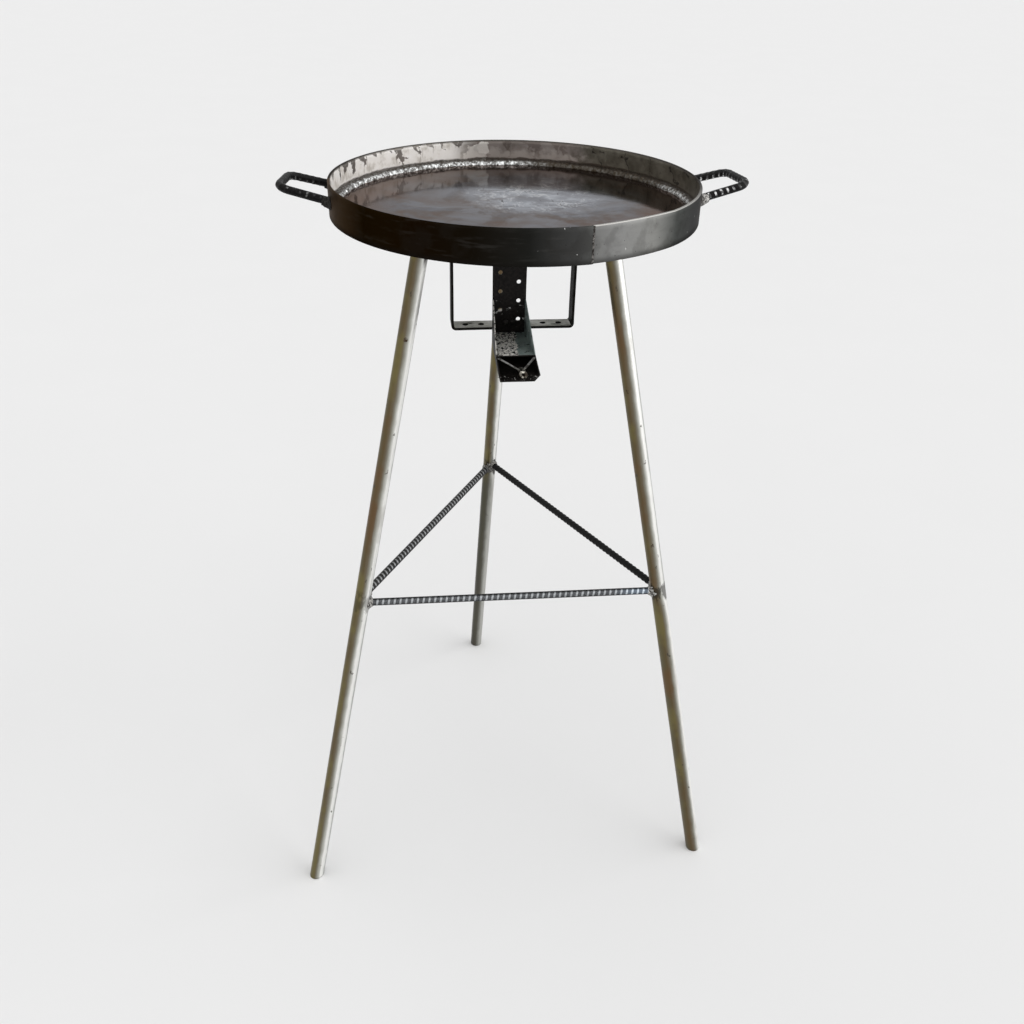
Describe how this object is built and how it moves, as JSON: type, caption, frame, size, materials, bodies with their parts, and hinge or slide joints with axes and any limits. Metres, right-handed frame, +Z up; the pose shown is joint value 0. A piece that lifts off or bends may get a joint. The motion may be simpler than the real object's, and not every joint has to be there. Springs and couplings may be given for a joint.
{
  "type": "camp griddle on a tripod stand",
  "caption": "Round welded steel griddle pan with ribbed-bar side handles on splayed tube legs, tied by a brace triangle, with a strap hanger and a sliding sheet-steel gas burner underneath.",
  "frame": {"origin": "the point on the ground under the pan's axis", "axes": "+Z up along the pan's axis, -Y towards the front where the burner's mouth is, +X to the right through the right handle"},
  "size_m": [0.6302, 0.6185, 1.0328],
  "materials": {
    "cooking_steel": "heat-tinted bare steel, seasoned, half gloss",
    "hoop_steel": "dark mill scale with bare grey patches",
    "bright_weld": "rough silvery weld bead",
    "dark_weld": "dark rough weld",
    "black_bar": "blackened ribbed bar with worn ribs",
    "grey_bar": "dark ribbed bar with bright ribs",
    "tube_steel": "bare galvanised tube, streaked and stained",
    "strap_steel": "dark flat bar, scraped to bare steel on top",
    "sooty_sheet": "sooty black sheet steel",
    "grey_sheet": "grey-green sheet steel with soot",
    "zinc_fastener": "dull zinc",
    "jet_brass": "stained brass"
  },
  "bodies": {
    "stand": {"griddle_disc": "cooking_steel", "rim_hoop": "hoop_steel", "rim_seam_weld": "dark_weld", "disc_weld_bead": "bright_weld", "left_handle": "black_bar", "right_handle": "black_bar", "left_handle_welds": "dark_weld", "right_handle_welds": "dark_weld", "leg_front_left": "tube_steel", "leg_front_right": "tube_steel", "leg_back": "tube_steel", "leg_front_left_weld": "dark_weld", "leg_front_right_weld": "dark_weld", "leg_back_weld": "dark_weld", "brace_front": "grey_bar", "brace_left": "grey_bar", "brace_right": "grey_bar", "brace_welds_front_left": "dark_weld", "brace_welds_front_right": "dark_weld", "brace_welds_back": "dark_weld", "hanger_strap": "strap_steel", "hanger_welds": "dark_weld", "clamp_bolt": "zinc_fastener", "wing_nut": "zinc_fastener"},
    "burner": {"burner_back_plate": "sooty_sheet", "burner_inlet_box": "sooty_sheet", "burner_left_cheek": "grey_sheet", "burner_right_cheek": "grey_sheet", "burner_tongue": "sooty_sheet", "burner_rivets": "zinc_fastener", "jet_bracket": "zinc_fastener", "gas_jet": "jet_brass"}
  },
  "joints": [
    {"name": "burner_slide", "type": "slide", "parent": "stand", "child": "burner", "axis": [0, -1, 0], "range_m": [0, 0.04]}
  ]
}
